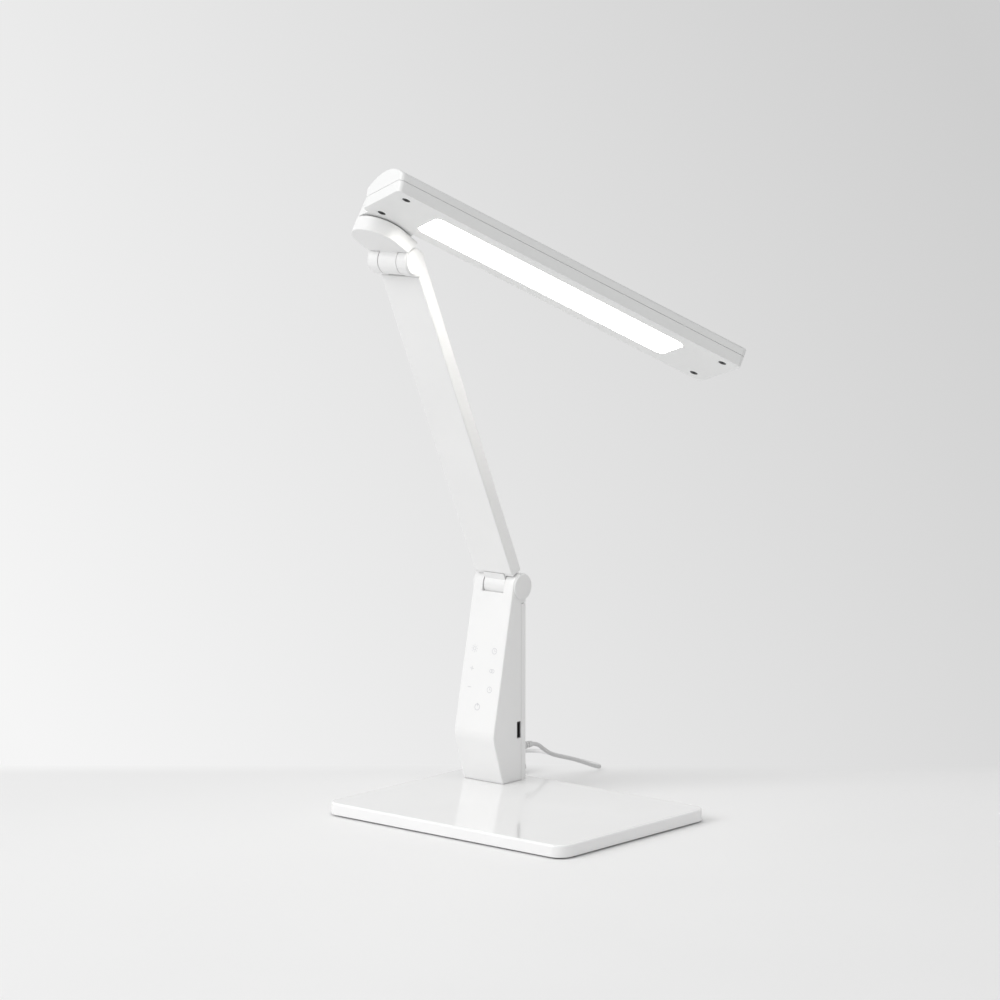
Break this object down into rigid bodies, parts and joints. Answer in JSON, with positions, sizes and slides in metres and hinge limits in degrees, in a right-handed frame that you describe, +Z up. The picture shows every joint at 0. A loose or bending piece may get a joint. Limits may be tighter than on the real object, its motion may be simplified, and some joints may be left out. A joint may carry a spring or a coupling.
{
  "type": "light therapy lamp",
  "caption": "Desk light therapy lamp: flat weighted base, touch post with socket, tilting arm, knuckle and slim swivelling panel head, with its lead and adapter.",
  "frame": {"origin": "middle of the base underside, on the table", "axes": "+Z up, front towards -Y, +X to the right of someone facing the front"},
  "size_m": [0.3653, 0.3656, 0.4859],
  "materials": {
    "acrylic": "clear acrylic light guide",
    "board_green": "solder mask",
    "brass_pin": "nickel over brass",
    "cord_pvc": "pale grey PVC",
    "gloss_white": "smooth glossy white ABS",
    "led_yellow": "phosphor",
    "mat_rubber": "pale grey foam rubber",
    "opal": "opal acrylic, lit from behind",
    "reflector_film": "white reflector film",
    "satin_white": "satin white ABS",
    "screw_black": "black oxide",
    "sink_aluminium": "bare sheet",
    "steel": "bright steel",
    "usb_black": "black nylon",
    "usb_metal": "plated tin",
    "washer_nylon": "natural nylon",
    "weight_steel": "zinc-plated steel plate"
  },
  "bodies": {
    "root": {"base_cover": "gloss_white", "base_weight": "weight_steel", "base_mat": "mat_rubber", "base_screws": "steel", "post_screws": "steel", "post_front": "satin_white", "post_rear": "satin_white", "post_frame": "steel", "touch_board": "board_green", "control_board": "board_green", "usb_shell": "usb_metal", "usb_tongue": "usb_black", "strain_relief": "cord_pvc", "cord": "cord_pvc", "cord_coil": "cord_pvc", "cord_tail": "cord_pvc", "adapter": "satin_white", "adapter_pins": "brass_pin", "lower_shaft": "steel", "lower_cap_left": "satin_white", "lower_cap_right": "satin_white", "lower_washers": "washer_nylon"},
    "arm": {"arm_rear": "satin_white", "arm_front": "satin_white", "arm_bar": "steel", "arm_wire": "cord_pvc", "upper_shaft": "steel", "upper_cap_left": "satin_white", "upper_cap_right": "satin_white", "upper_washers": "washer_nylon"},
    "knuckle_block": {"block_lower": "satin_white", "block_upper": "satin_white", "swivel_bush": "washer_nylon"},
    "head": {"head_stem": "satin_white", "stem_collar": "steel", "head_lower": "satin_white", "head_upper": "satin_white", "diffuser": "opal", "light_guide": "acrylic", "reflector": "reflector_film", "heat_sink": "sink_aluminium", "led_board": "board_green", "leds": "led_yellow", "driver_board": "board_green", "head_screws": "screw_black"}
  },
  "joints": [
    {"name": "arm_tilt", "type": "hinge", "parent": "root", "child": "arm", "pos_m": [-0.0718, 0.0684, 0.1601], "axis": [1, 0, 0], "range_deg": [-34, 55]},
    {"name": "head_tilt", "type": "hinge", "parent": "arm", "child": "knuckle_block", "pos_m": [-0.0718, -0.05146, 0.41474], "axis": [1, 0, 0], "range_deg": [-33, 100]},
    {"name": "head_swivel", "type": "hinge", "parent": "knuckle_block", "child": "head", "pos_m": [-0.0718, -0.06545, 0.4398], "axis": [0, 0.521, 0.8536], "range_deg": [-61.4, 118.6]}
  ]
}
